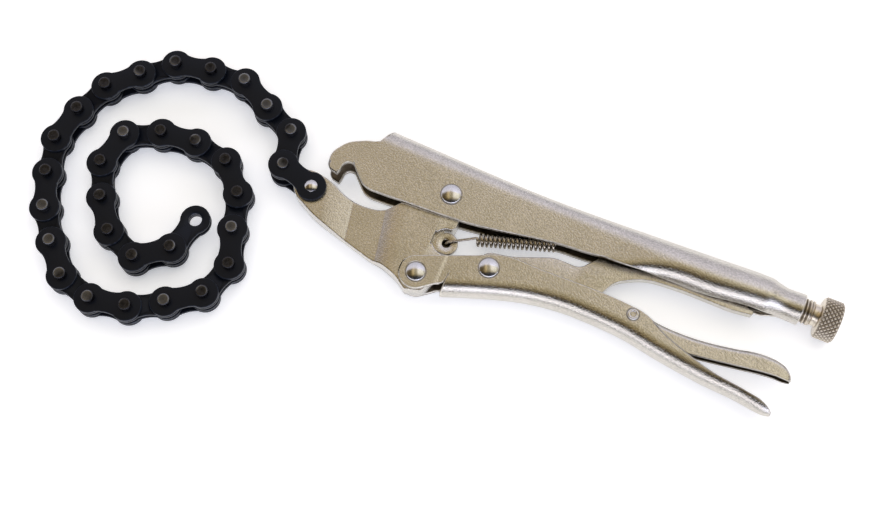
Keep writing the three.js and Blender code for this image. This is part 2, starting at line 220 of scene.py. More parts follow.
def slab(shell, outline, low, high, rounding, slot=0, hole=None):
    # Flat plate: the outline carried up its edge, with a quarter circle at both rims. The hole,
    # (centre, radius), is joined to the outline by straight lines between points at equal turns.
    quarter = np.radians(np.linspace(0, 90, 5))
    inwards = rounding * (1 - np.cos(quarter))
    rise = rounding * np.sin(quarter)
    rings = [(inset(outline, d), low + rounding - h) for d, h in zip(inwards[::-1], rise[::-1])]
    rings += [(inset(outline, d), high - rounding + h) for d, h in zip(inwards, rise)]
    edge = [0, 0.6, 1, 1, 0.6, 0.6, 1, 1, 0.6, 0]
    if hole is not None:
        (x, y), radius = hole
        turn = np.arctan2(outline[:, 1] - y, outline[:, 0] - x)
        round_ = np.stack([np.cos(turn), np.sin(turn)], 1)
        lip = 0.25  # chamfer round the hole
        around = [(radius + lip, high), (radius, high - lip), (radius, low + lip), (radius + lip, low)]
        rings += [([x, y] + r * round_, h) for r, h in around]
        edge += [0, 1, 1, 0]
    points = np.stack([np.column_stack([ring, np.full(len(ring), z)]) for ring, z in rings])
    sides = len(outline)
    quads = gridFaces(len(rings), sides, closeRows=hole is not None, closeColumns=True)
    caps = endCaps(len(rings), sides) if hole is None else ()
    shell.add(points, quads, slot, np.repeat(np.array(edge, float)[:, None], sides, 1), caps)


def channelGrid(stations, columns):
    # Folded channel: at each station the section runs from the left edge of the open side, round
    # the curled edge, straight up the cheek, round the fold's corner and along its back, by its
    # own length. Returns points (station, column, xyz) with the right half mirrored in z.
    names = ("leg", "curl", "half", "corner", "back")
    leg, curl, half, corner, back = (stations[k][:, None] for k in names)
    rise = corner * stations["tall"]
    foldStart = back - rise
    skipped = np.arcsin(np.clip((leg - foldStart) / rise, 0, 1))
    curled = half * curl
    straight = np.maximum(foldStart - leg, 0)
    turned = (corner + rise) / 2 * (np.pi / 2 - skipped)
    total = curled + straight + turned + half - corner
    cheek = np.maximum(curled + straight, 0.35 * total)
    share = np.linspace(0, 1, columns["cheek"])[None, :]
    foldShare = np.linspace(0, 1, columns["fold"])[None, 1:]
    run = np.concatenate([cheek * share, cheek + (total - cheek) * foldShare], 1)
    onCurl = np.minimum(run, curled) / half - curl
    onCheek = np.clip(run - curled, 0, straight)
    onCorner = np.clip(run - curled - straight, 0, turned) / turned * (np.pi / 2 - skipped) + skipped
    onBack = np.clip(run - curled - straight - turned, 0, None)
    bottom = leg + half * np.sin(onCurl)
    y = np.where(run < curled, bottom, np.where(run < curled + straight, leg + onCheek,
                                                foldStart + rise * np.sin(onCorner)))
    z = np.where(run < curled, half * np.cos(onCurl), np.where(
        run < curled + straight, half, half - corner + corner * np.cos(onCorner) - onBack))
    x = stations["x"][:, None] + stations["lean"][:, None] * np.maximum(y - foldStart, 0)
    left = np.stack([np.broadcast_to(x, y.shape), y, z], -1)
    right = left[:, -2::-1] * [1, 1, -1]
    return np.concatenate([left, right], 1)


def channelPiece(name, body, nodes, materials, front, stations, columns, wall, rim, upsideDown=False):
    # Sheet shell: the two cheek plates of the front, ruled between their two edges, and then the
    # folded channel. Solidify gives it its wall, and Bevel eases the cut edges.
    grid = channelGrid(stations, columns)
    width = grid.shape[1]
    cheek = columns["cheek"]
    plates = 0
    if front is not None:
        lower, upper, half = front
        share = np.linspace(0, 1, cheek)[None, :, None]
        face = lower[:, None] * (1 - share) + upper[:, None] * share
        face = np.concatenate([face, np.broadcast_to(half[:, None, None], face.shape[:2] + (1,))], 2)
        plates = len(lower)
        rows = np.full((plates, width, 3), np.nan)
        rows[:, :cheek] = face
        rows[:, width - cheek:] = face[:, ::-1] * [1, 1, -1]
        grid = np.concatenate([rows, grid])
    quads = gridFaces(len(grid), width)
    row, column = quads[:, 0] // width, quads[:, 0] % width
    open_ = (row < plates) & (column >= cheek - 1) & (column < width - cheek)
    quads = quads[~open_]
    wallShare = np.repeat(np.concatenate([np.ones(plates), stations["wall"]])[:, None], width, 1).ravel()
    used, quads = np.unique(quads, return_inverse=True)
    points = grid.reshape(-1, 3)[used]
    quads = quads.reshape(-1, 4)
    if upsideDown:
        points = points * [1, -1, 1]
    else:
        quads = quads[:, ::-1]
    shell = Shell()
    shell.add(points, quads)
    piece = shell.piece(name, body, materials, nodes)
    group = piece.vertex_groups.new(name="wall")
    for share in np.unique(wallShare):
        group.add(np.flatnonzero(wallShare[used] == share).tolist(), float(share), "REPLACE")
    solidify = piece.modifiers.new("wall", "SOLIDIFY")
    solidify.thickness = wall * mm
    solidify.offset = -1
    solidify.use_even_offset = True
    solidify.vertex_group = "wall"
    # the inner faces take the next material: painted shade inside the fold
    solidify.material_offset = 1
    # the rim takes the one after: the cut edge's dull face, darkened further as painted shade
    solidify.material_offset_rim = 2
    bevel = piece.modifiers.new("rim", "BEVEL")
    bevel.width = rim * mm
    bevel.segments = 3
    # the bevel takes the fourth material, whose pale colour paints a highlight along each eased edge
    bevel.material = 3
    bevel.limit_method = "ANGLE"
    bevel.angle_limit = math.radians(48)
    bevel.use_clamp_overlap = False
    bevel.harden_normals = True
    return piece


# materials

def linear(hexColour):
    # sRGB hex to the linear values that the shader takes
    value = np.array([int(hexColour[i:i + 2], 16) for i in (1, 3, 5)]) / 255
    lin = np.where(value <= 0.04045, value / 12.92, ((value + 0.055) / 1.055) ** 2.4)
    return (*lin.tolist(), 1.0)


def addNode(tree, kind, settings=None, inputs=None):
    # one node, its settings, and for each input a value or the socket that feeds it
    node = tree.nodes.new(kind)
    for name, value in (settings or {}).items():
        setattr(node, name, value)
    for key, value in (inputs or {}).items():
        if isinstance(value, bpy.types.NodeSocket):
            tree.links.new(value, node.inputs[key])
        else:
            node.inputs[key].default_value = value
    return node


def newMaterial(name):
    material = bpy.data.materials.new(name)
    material.use_nodes = True
    tree = material.node_tree
    tree.nodes.clear()
    output = addNode(tree, "ShaderNodeOutputMaterial")
    shader = addNode(tree, "ShaderNodeBsdfPrincipled")
    tree.links.new(shader.outputs[0], output.inputs[0])
    place = addNode(tree, "ShaderNodeTexCoord").outputs["Object"]
    return material, tree, shader, place


def noise(tree, place, sizeMm, detail=2.0, roughness=0.55, stretch=(1, 1, 1)):
    # noise whose blotches are about sizeMm across
    mapped = addNode(tree, "ShaderNodeMapping", None, {"Vector": place, "Scale": stretch}).outputs[0]
    return addNode(tree, "ShaderNodeTexNoise", None, {
        "Vector": mapped, "Scale": 1 / (sizeMm * mm), "Detail": detail, "Roughness": roughness,
    }).outputs["Fac"]


def ranged(tree, value, low, high, toLow, toHigh):
    # straight line from (low, toLow) to (high, toHigh), held level outside them
    return addNode(tree, "ShaderNodeMapRange", None, {
        "Value": value, "From Min": low, "From Max": high, "To Min": toLow, "To Max": toHigh}).outputs[0]


def mixColour(tree, share, a, b):
    node = addNode(tree, "ShaderNodeMix", {"data_type": "RGBA"})
    for index, value in ((0, share), (6, a), (7, b)):
        if isinstance(value, bpy.types.NodeSocket):
            tree.links.new(value, node.inputs[index])
        else:
            node.inputs[index].default_value = value
    return node.outputs[2]


def math2(tree, operation, a, b):
    return addNode(tree, "ShaderNodeMath", {"operation": operation}, {0: a, 1: b}).outputs[0]


def groove(tree, place, centres, radius, width):
    # 1 in a thin ring of that radius about each upright axis, and 0 elsewhere
    flat = addNode(tree, "ShaderNodeVectorMath", {"operation": "MULTIPLY"},
                   {0: place, 1: (1, 1, 0)}).outputs[0]
    rings = None
    for (x, y), r in zip(centres, radius):
        spot = (*inFrame((x, y, 0))[:2], 0)
        away = addNode(tree, "ShaderNodeVectorMath", {"operation": "DISTANCE"},
                       {0: flat, 1: spot}).outputs["Value"]
        off = math2(tree, "ABSOLUTE", math2(tree, "SUBTRACT", away, r * mm), 0)
        ring = ranged(tree, off, width * mm * 0.35, width * mm, 1, 0)
        rings = ring if rings is None else math2(tree, "MAXIMUM", rings, ring)
    return rings


# Blasted nickel: steel sheet and forgings, bead blasted and then nickel plated, which leaves a
# warm silver with a fine frosted grain; light breaks up into sparkle where it grazes. The real
# grain is about 0.1 mm, and is drawn coarser here so that it shows.
blastedLook = {
    "colour": "#d3cfc8", "shade": "#ccc8c0", "grainMm": 0.7, "patchMm": 14.0,
    "roughness": (0.15, 0.2), "grainDepthMm": 0.14,
    # painted shade, with some dirt, in the groove round a rivet head: the sheet has no hole there to look
    # dark
    "grooveDirtAndShade": "#3f3222", "grooveDirtAndShadeShare": 0.42, "ringWidth": 0.32, "ringDepth": 1.2,
}

# The same plating, darkened as painted shade: brownish and dark inside a fold, where shade falls, and
# dull over the torn face that the punch leaves round a plate's edge, partly that face's own finish and
# partly painted shade.
insideShadeLook = {**blastedLook, "colour": "#7d7466", "shade": "#5f574b", "patchMm": 5.0,
              "roughness": (0.34, 0.44)}
cutDullAndShadeLook = {**blastedLook, "colour": "#b0aaa0", "shade": "#857c70", "patchMm": 1.3,
           "roughness": (0.2, 0.34)}


def blastedNickel(name, rings=(), ringRadius=(), look=blastedLook, rougher=0.0):
    material, tree, shader, place = newMaterial(name)
    grain = noise(tree, place, look["grainMm"], 3.0, 0.7)
    patch = noise(tree, place, look["patchMm"], 3.0)
    patchShare = ranged(tree, patch, 0.35, 0.65, 0, 1)
    colour = mixColour(tree, patchShare, linear(look["shade"]), linear(look["colour"]))
    speck = ranged(tree, grain, 0.3, 0.72, 0.8, 1.16)
    colour = addNode(tree, "ShaderNodeVectorMath", {"operation": "SCALE"},
                     {0: colour, "Scale": speck}).outputs[0]
    height = grain
    # painted shade with some dirt: a brown ring round each rivet head where the gap between head and hole
    # would be dark; the same ring dips the bump
    if len(rings):
        ring = groove(tree, place, rings, ringRadius, look["ringWidth"])
        ringDirtAndShade = math2(tree, "MULTIPLY", ring, look["grooveDirtAndShadeShare"])
        colour = mixColour(tree, ringDirtAndShade, colour, linear(look["grooveDirtAndShade"]))
        height = math2(tree, "SUBTRACT", grain, math2(tree, "MULTIPLY", ring, look["ringDepth"]))
    low, high = look["roughness"]
    rough = ranged(tree, patch, 0.3, 0.7, low + rougher, high + rougher)
    bump = addNode(tree, "ShaderNodeBump", None, {
        "Height": height, "Distance": look["grainDepthMm"] * mm, "Strength": 1.0}).outputs[0]
    tree.links.new(colour, shader.inputs["Base Color"])
    tree.links.new(rough, shader.inputs["Roughness"])
    tree.links.new(bump, shader.inputs["Normal"])
    shader.inputs["Metallic"].default_value = 1.0
    return material


# Polished nickel: rivet heads, peened and buffed before plating; a mirror with faint rub marks.
def polishedNickel():
    material, tree, shader, place = newMaterial("polishedNickel")
    rub = noise(tree, place, 0.5, 3.0, 0.7)
    wave = noise(tree, place, 2.2, 1.0)
    colour = mixColour(tree, ranged(tree, rub, 0.35, 0.7, 0, 1), linear("#d3d2d3"), linear("#e9e9ec"))
    bump = addNode(tree, "ShaderNodeBump", None, {
        "Height": wave, "Distance": 0.08 * mm, "Strength": 0.6}).outputs[0]
    tree.links.new(colour, shader.inputs["Base Color"])
    tree.links.new(ranged(tree, rub, 0.3, 0.7, 0.14, 0.24), shader.inputs["Roughness"])
    tree.links.new(bump, shader.inputs["Normal"])
    shader.inputs["Metallic"].default_value = 1.0
    return material


# Rubbed nickel: the eased edges of the sheet, burnished by tumbling and by the hand, in a colour paler
# than the plating: partly the burnished metal and partly a painted highlight, a soft bright line that
# follows each cut.
def rubbedNickelHighlight():
    material, tree, shader, place = newMaterial("rubbedNickelHighlight")
    rub = noise(tree, place, 0.9, 3.0, 0.7)
    colour = mixColour(tree, ranged(tree, rub, 0.4, 0.7, 0, 1), linear("#c9c4ba"), linear("#f6f3ec"))
    tree.links.new(colour, shader.inputs["Base Color"])
    tree.links.new(ranged(tree, rub, 0.3, 0.7, 0.36, 0.5), shader.inputs["Roughness"])
    shader.inputs["Metallic"].default_value = 1.0
    return material


# Knurled nickel: turned and rolled steel, nickel plated; bright crests, and valleys darkened by painted
# shade.
def knurledNickel():
    material, tree, shader, place = newMaterial("knurledNickel")
    crest = addNode(tree, "ShaderNodeAttribute", {"attribute_name": "edge"}).outputs["Fac"]
    grain = noise(tree, place, 0.3, 3.0)
    # painted shade: the colour darkens from the crests into the valleys of the knurl and the roots of the
    # thread
    colour = mixColour(tree, crest, linear("#5f5344"), linear("#dcd3c4"))
    tree.links.new(colour, shader.inputs["Base Color"])
    tree.links.new(ranged(tree, grain, 0.3, 0.7, 0.24, 0.36), shader.inputs["Roughness"])
    bump = addNode(tree, "ShaderNodeBump", None, {"Height": grain, "Distance": 0.015 * mm}).outputs[0]
    tree.links.new(bump, shader.inputs["Normal"])
    shader.inputs["Metallic"].default_value = 1.0
    return material


# Black oxide: hot-blackened and oiled link plates; nearly black with a blue cast, with a painted bluish
# highlight along the rounded edges, broken up by noise, and a few pale scuffs on the flats.
def blackOxide():
    material, tree, shader, place = newMaterial("blackOxide")
    edge = addNode(tree, "ShaderNodeAttribute", {"attribute_name": "edge"}).outputs["Fac"]
    mottle = noise(tree, place, 1.6, 4.0, 0.65)
    fine = noise(tree, place, 0.35, 3.0, 0.6)
    # painted highlight: the edge attribute makes the rounded rims paler and bluish, standing for their
    # reflection
    edgeSheen = math2(tree, "MULTIPLY", edge, ranged(tree, mottle, 0.42, 0.62, 0.0, 1.0))
    scuff = ranged(tree, noise(tree, place, 0.9, 5.0, 0.75, (1, 3.2, 1)), 0.69, 0.76, 0, 0.55)
    colour = mixColour(tree, edgeSheen, linear("#10141d"), linear("#2c3342"))
    colour = mixColour(tree, scuff, colour, linear("#4b4a4c"))
    tree.links.new(colour, shader.inputs["Base Color"])
    tree.links.new(ranged(tree, fine, 0.3, 0.7, 0.3, 0.42), shader.inputs["Roughness"])
    bump = addNode(tree, "ShaderNodeBump", None, {"Height": fine, "Distance": 0.02 * mm}).outputs[0]
    tree.links.new(bump, shader.inputs["Normal"])
    shader.inputs["Metallic"].default_value = 0.25
    shader.inputs["Specular IOR Level"].default_value = 0.22
    return material


# Tempered pin: hardened steel pins with a brown-black temper colour and a smooth ground side, and a
# painted highlight round the rim of each end, paler on some pins.
def temperedPin():
    material, tree, shader, place = newMaterial("temperedPin")
    mottle = noise(tree, place, 1.1, 4.0, 0.6)
    edge = addNode(tree, "ShaderNodeAttribute", {"attribute_name": "edge"}).outputs["Fac"]
    some = ranged(tree, noise(tree, place, 13.0, 1.0), 0.5, 0.56, 0, 1)
    colour = mixColour(tree, ranged(tree, mottle, 0.4, 0.65, 0, 1), linear("#19191e"), linear("#323238"))
    colour = mixColour(tree, some, colour, linear("#47484e"))
    # painted highlight: where the edge attribute is high, at the rim of each pin's end, the colour is paler
    rimHighlight = mixColour(tree, some, linear("#444449"), linear("#86888f"))
    colour = mixColour(tree, math2(tree, "MULTIPLY", edge, 0.8), colour, rimHighlight)
    tree.links.new(colour, shader.inputs["Base Color"])
    tree.links.new(ranged(tree, mottle, 0.3, 0.7, 0.2, 0.34), shader.inputs["Roughness"])
    shader.inputs["Metallic"].default_value = 0.85
    return material


# Spring steel: drawn wire, bright zinc, with fine draw lines along the wire.
def springSteel():
    material, tree, shader, place = newMaterial("springSteel")
    grain = noise(tree, place, 0.4, 2.0)
    colour = mixColour(tree, ranged(tree, grain, 0.35, 0.65, 0, 1), linear("#9c9182"), linear("#cfc6b6"))
    tree.links.new(colour, shader.inputs["Base Color"])
    tree.links.new(ranged(tree, grain, 0.3, 0.7, 0.16, 0.28), shader.inputs["Roughness"])
    shader.inputs["Metallic"].default_value = 1.0
    return material


# stage, light and camera

cameraPlan = {"place": (0.07419, -0.18631, 0.51509), "elevation": 71.194, "turn": 22.707, "lens": 52.82}


def makeCamera(plan=cameraPlan):
    camera = bpy.data.objects.new("camera", bpy.data.cameras.new("camera"))
    camera.data.sensor_width = 36
    camera.data.lens = plan["lens"]
    camera.location = toolOrigin + plan["place"]
    camera.rotation_euler = (math.radians(90 - plan["elevation"]), 0, math.radians(plan["turn"]))
    bpy.context.scene.collection.objects.link(camera)
    bpy.context.scene.camera = camera


floorPlan = {"reach": 3.0, "colour": "#f4f4f4", "glow": 0.375, "glowColour": (0.95, 0.985, 1.07, 1)}


def makeFloor(plan=floorPlan):
    # plain pale paper
    material, _, shader, _ = newMaterial("paleFloor")
    shader.inputs["Base Color"].default_value = linear(plan["colour"])
    shader.inputs["Roughness"].default_value = 0.9
    shader.inputs["Specular IOR Level"].default_value = 0.0
    shader.inputs["Emission Color"].default_value = plan["glowColour"]
    shader.inputs["Emission Strength"].default_value = plan["glow"]
    r = plan["reach"]
    mesh = bpy.data.meshes.new("floor")
    mesh.from_pydata([(-r, -r, 0), (r, -r, 0), (r, r, 0), (-r, r, 0)], [], [(0, 1, 2, 3)])
    mesh.materials.append(material)
    floor = bpy.data.objects.new("floor", mesh)
    bpy.context.scene.collection.objects.link(floor)


# Radiance of the studio against the angle from straight up, in degrees: minus is the far side of
# the tool, plus the near side. Long soft boxes on both sides, a warm ceiling and a dark gap.
studioPlan = {
    "bands": [
        (-90, (0.56, 0.55, 0.61)), (-48, (0.86, 0.83, 0.91)), (-38, (0.84, 0.79, 0.8)),
        (-28, (0.455, 0.385, 0.25)), (2, (0.4, 0.336, 0.203)), (12, (0.3, 0.237, 0.128)),
        (24, 0.01), (47, (0.01, 0.01, 0.012)), (53, (2.1, 2.1, 2.3)), (72, (2.1, 2.1, 2.3)),
        (80, 0.1), (90, 0.1),
    ],
    # how much that changes across the tool: minus is its jaw end, plus its knob end
    "sides": [
        (-90, 1.0), (-66, 1.1), (-54, (0.22, 0.18, 0.12)), (-37, (0.26, 0.21, 0.14)),
        (-28, (0.6, 0.52, 0.38)), (-19, (1.95, 1.75, 1.4)), (-8, (1.02, 1.02, 1.0)), (7, 1.0),
        (18, (2.7, 2.95, 3.9)), (46, (2.5, 2.8, 3.6)), (60, (0.8, 0.8, 0.85)), (90, (0.9, 0.9, 0.95)),
    ],
    # the share of that change that shows, by the first angle
    "reach": [(-90, 0.0), (-42, 0.05), (-24, 1.0), (22, 1.0), (45, 0.25), (90, 0.1)],
    "fillPower": 9.0, "fillSize": 1.6, "fillHeight": 1.5,
}


def makeStudio(plan=studioPlan):
    # Light from a direction is its band's, times the change across where that reaches; one lamp
    # overhead, which the metal doesn't mirror, gives the soft shadow.
    world = bpy.data.worlds.new("studio")
    bpy.context.scene.world = world
    world.use_nodes = True
    tree = world.node_tree
    tree.nodes.clear()
    output = addNode(tree, "ShaderNodeOutputWorld")
    background = addNode(tree, "ShaderNodeBackground")
    tree.links.new(background.outputs[0], output.inputs[0])
    direction = addNode(tree, "ShaderNodeTexCoord").outputs["Generated"]
    turn = math.radians(cameraPlan["turn"])
    near = (math.sin(turn), -math.cos(turn), 0)
    side = (math.cos(turn), math.sin(turn), 0)
    up = addNode(tree, "ShaderNodeSeparateXYZ", None, {0: direction}).outputs[2]
    ramps = []
    for way, stops in ((near, plan["bands"]), (side, plan["sides"]), (near, plan["reach"])):
        lean = addNode(tree, "ShaderNodeVectorMath", {"operation": "DOT_PRODUCT"},
                       {0: direction, 1: way}).outputs["Value"]
        share = ranged(tree, math2(tree, "ARCTAN2", lean, up), -math.pi / 2, math.pi / 2, 0, 1)
        ramp = addNode(tree, "ShaderNodeValToRGB", None, {0: share})
        elements = ramp.color_ramp.elements
        while len(elements) < len(stops):
            elements.new(0.5)
        for element, (angle, colour) in zip(elements, stops):
            element.position = (angle + 90) / 180
            element.color = (*np.broadcast_to(colour, 3).tolist(), 1)
        ramps.append(ramp.outputs[0])
    change = mixColour(tree, ramps[2], (1, 1, 1, 1), ramps[1])
    glow = addNode(tree, "ShaderNodeVectorMath", {"operation": "MULTIPLY"}, {0: ramps[0], 1: change})
    tree.links.new(glow.outputs[0], background.inputs[0])
    lamp = bpy.data.lights.new("fill", "AREA")
    lamp.energy = plan["fillPower"]
    lamp.size = plan["fillSize"]
    fill = bpy.data.objects.new("fill", lamp)
    fill.location = (0, 0, plan["fillHeight"])
    fill.visible_glossy = False
    bpy.context.scene.collection.objects.link(fill)
    bpy.context.scene.view_settings.view_transform = "Standard"


makeCamera()
makeFloor()
makeStudio()
print("stage ready")

mainPivot, jawPivot = np.zeros(2), jointAt("handle_open")
linkPivot, leverPivot = jointAt("link_swing"), jointAt("release_lever_press")
nosePivot = jointAt("nose_link_swing")
polished = polishedNickel()
channelInsideShade = blastedNickel("channelInsideShade", look=insideShadeLook)
cutEdgeDullAndShaded = blastedNickel("cutEdgeDullAndShaded", look=cutDullAndShadeLook)
rubbedEdgeHighlight = rubbedNickelHighlight()

# upper handle

upperPlan = {
    "half": 6.5, "tubeHalf": 8.4, "wall": 2.2, "rim": 0.6,
    "hookStations": 90, "stations": 260, "columns": {"cheek": 11, "fold": 15},
    "outer": [(-51.6, -9.3), (-53.6, -7.6, 1.4), (-54.5, -1.6, 4), (-49.8, 5.4, 3), (-42.2, 9.2, 2),
              (-39.2, 9.9, 1), (-37.7, 10.6)],
    "inner": [(-48.1, -10.1), (-47.6, -8.2)],
    "seat": ((-44.7, -6.0), 2.8, 178, 33),
    "innerEnd": [(-38.6, -8.2)],
    "edge": [(-38.6, -8.2), (-36.5, -10), (-33.4, -11.1), (-29, -11.2), (-18, -10.7), (9, -9.3),
             (50, -3), (67, -1.6), (78, 1.0), (86, 4.8), (96, 7.6), (116, 8.7), (136, 10.3), (152, 10.6)],
    "back": [(-37.6, 19.0), (-20, 18.4), (5, 17.3), (40, 16.3), (70, 16.8), (86, 17.3), (96, 17.6),
             (116, 18.3), (134, 18.9), (137.5, 18.8), (140, 18.1), (142.5, 17.5), (152.2, 17.4)],
    "halves": [(-38, 6.5), (68, 6.5), (78, 7.1), (86, 7.8), (96, 8.4), (134, 8.4), (137.5, 8.2),
               (140, 7.4), (142.5, 6.75), (152.2, 6.7)],
    "curls": [(-38, 0.0), (69, 0.0), (78, 20), (86, 45), (96, 66), (132, 66), (138, 72), (142.5, 86),
              (152.2, 88)],
    "walls": [(-38, 1.0), (136, 1.0), (141, 0.62), (152.2, 0.62)],
}


def makeUpperHandle(plan=upperPlan):
    outer = evenly(roundedPath(plan["outer"]), plan["hookStations"])
    centre, radius, start, end = plan["seat"]
    inner = np.vstack([plan["inner"], arc(centre, radius, start, end, 24), plan["innerEnd"]])
    inner = evenly(inner, plan["hookStations"])
    front = (inner[:-1], outer[:-1], np.full(plan["hookStations"] - 1, plan["half"]))
    x = np.linspace(-37.6, 152.2, plan["stations"])
    half = throughKnots(x, plan["halves"])
    stations = {
        "x": x, "leg": throughKnots(x, plan["edge"]), "half": half,
        "back": throughKnots(x, plan["back"]),
        "curl": np.radians(np.clip(throughKnots(x, plan["curls"]), 0, 88.5)),
        "corner": half * 0.97, "tall": 1.35, "lean": 0.42 * np.clip(1 - (x + 37.6) / 14, 0, 1),
        "wall": np.interp(x, *np.array(plan["walls"]).T),
    }
    outside = blastedNickel("blastedNickelUpper", [mainPivot], [4.45])
    materials = [outside, channelInsideShade, cutEdgeDullAndShaded, rubbedEdgeHighlight]
    return channelPiece("upperHandle", "frame", ["upper_handle"], materials, front, stations,
                        plan["columns"], plan["wall"], plan["rim"])


makeUpperHandle()
print("upper handle made")

# lower handle: the same folded channel, its fold towards the palm

lowerPlan = {
    "half": 6.5, "wall": 2.0, "rim": 0.5, "lobe": 7.2, "stations": 220, "frontStations": 60,
    "columns": {"cheek": 11, "fold": 15},
    "notch": [(8.6, -39.3, 0.8), (10.6, -38.2, 0.6), (11.7, -37.0)],
    "open": [(12, -24.2), (20, -20.8), (27, -17.6), (31.5, -16.4), (45, -16.3), (86, -16.5), (91, -17),
             (95, -18.2), (103, -22.4), (113.8, -26.4), (125, -29.6), (141.4, -31.9), (149, -33.3),
             (152, -34.6), (153.8, -35.8)],
    "fold": [(12, -41.7), (23, -37.7), (34, -34), (44, -31.2), (60, -28.8), (74, -28.7), (87, -29.5),
             (105, -32.6), (123, -35), (140, -36.3), (147, -37.3), (151, -37.6), (153.8, -37.1)],
    "halves": [(12, 6.25), (100, 6.25), (125, 6.1), (140, 5.7), (147, 5.0), (150.5, 4.2), (152.6, 3.2),
               (153.8, 1.9)],
}


def makeLowerHandle(plan=lowerPlan):
    lobe = plan["lobe"]
    count = plan["frontStations"]
    over = np.vstack([arc(jawPivot, lobe, 171, 113, 24), [(12, -24.2)]])
    notch = roundedPath([(5.2, -42.2), *plan["notch"]])[2:]
    under = np.vstack([arc(jawPivot, lobe, 189, 309, 40), notch])
    over, under = evenly(over, count), evenly(under, count)
    joggle = np.clip((9.6 - (over[:, 0] + under[:, 0]) / 2) / 1.4, 0, 1)
    frontHalf = 6.25 + 0.25 * joggle
    front = (over * [1, -1], under * [1, -1], frontHalf)
    x = np.linspace(12, 153.8, plan["stations"])
    half = throughKnots(x, plan["halves"])
    stations = {
        "x": x, "leg": -throughKnots(x, plan["open"]), "back": -throughKnots(x, plan["fold"]),
        "half": half, "corner": half * 0.96, "tall": 1.1,
        "curl": np.zeros(len(x)), "lean": np.zeros(len(x)),
        "wall": np.interp(x, [12, 143, 153.8], [1, 1, 0.35]),
    }
    outside = blastedNickel("blastedNickelLower", [jawPivot, linkPivot, leverPivot], [4.25, 4.35, 2.6])
    materials = [outside, channelInsideShade, cutEdgeDullAndShaded, rubbedEdgeHighlight]
    return channelPiece("lowerHandle", "handle", ["lower_handle"], materials, front, stations,
                        plan["columns"], plan["wall"], plan["rim"], upsideDown=True)


makeLowerHandle()
print("lower handle made")

# jaw

jawPlan = {
    "half": 4.0, "waist": 2.3, "tilt": 11.3, "soft": 0.75, "along": 260, "across": 130,
    "top": [(-63.6, -14.2), (-62.2, -12.2, 2), (-57.5, -11.4, 4), (-49, -13.2, 4), (-40.5, -17.2, 5),
            (-31.7, -17.9, 5), (-24, -16.6, 4), (-16, -8, 4), (-9.6, 0, 4), (-8, 8.2, 2), (-0.2, 9.1)],
    "bottom": [(-64.7, -18.4), (-63.8, -21, 2), (-61.2, -24.7, 3), (-50.1, -30.4, 4), (-35.5, -34.9, 4),
               (-20, -39.1, 3), (-15.5, -39.1, 3), (-8, -41.6, 3), (-2.4, -45.4, 1.5), (-0.2, -44.9)],
    "ear": (5.8, -19.6), "scoop": 5.6, "earRadius": 5.0, "earHalf": 1.5, "earHole": 1.7,
    # the heel above and below the spring ear's recess, from the end of the scoop onwards
    "above": [(6.2, -13.9), (7.3, -12.8), (7.6, -8), (8.2, 1.4), (7.6, 4.6), (4.6, 9.2), (3.6, 9.5),
              (-6.5, 8.4), (-8.4, 1), (-8.4, -16.8)],
    "below": [(-8.4, -22.4), (-8.4, -38), (-5.6, -43.2), (-2.4, -45.3), (3.9, -43.7), (5, -42.6),
              (7.2, -38.4), (7.5, -27), (6.8, -25.6)],
    "bridge": [(-2, -26), (3.6, -25.2), (2.4, -19), (3.6, -13.6), (-2, -13)],
    "hair": 0.02,
}


def jawHeight(x, y, plan=jawPlan):
    # Half thickness against distance across the two creases: full at the rivets, falling in a
    # steepening curve to the waist, flat, a small step up, and a long rise to the nose.
    tilt = math.radians(plan["tilt"])
    c = x * math.cos(tilt) + y * math.sin(tilt)
    half, waist = plan["half"], plan["waist"]
    fall = half - (half - waist) * np.clip((-16.4 - c) / 9.6, 0, 1) ** 2.2
    rise = half - 1.5 * np.clip((c + 52) / 11.2, 0, 1) ** 1.35
    step = np.clip((-40.35 - c) / 0.45, 0, 1)
    dip = 0.16 * np.exp(-((c + 40.2) / 0.35) ** 2)
    middle = waist - dip
    return np.where(c > -30, fall, middle + (rise - middle) * step)


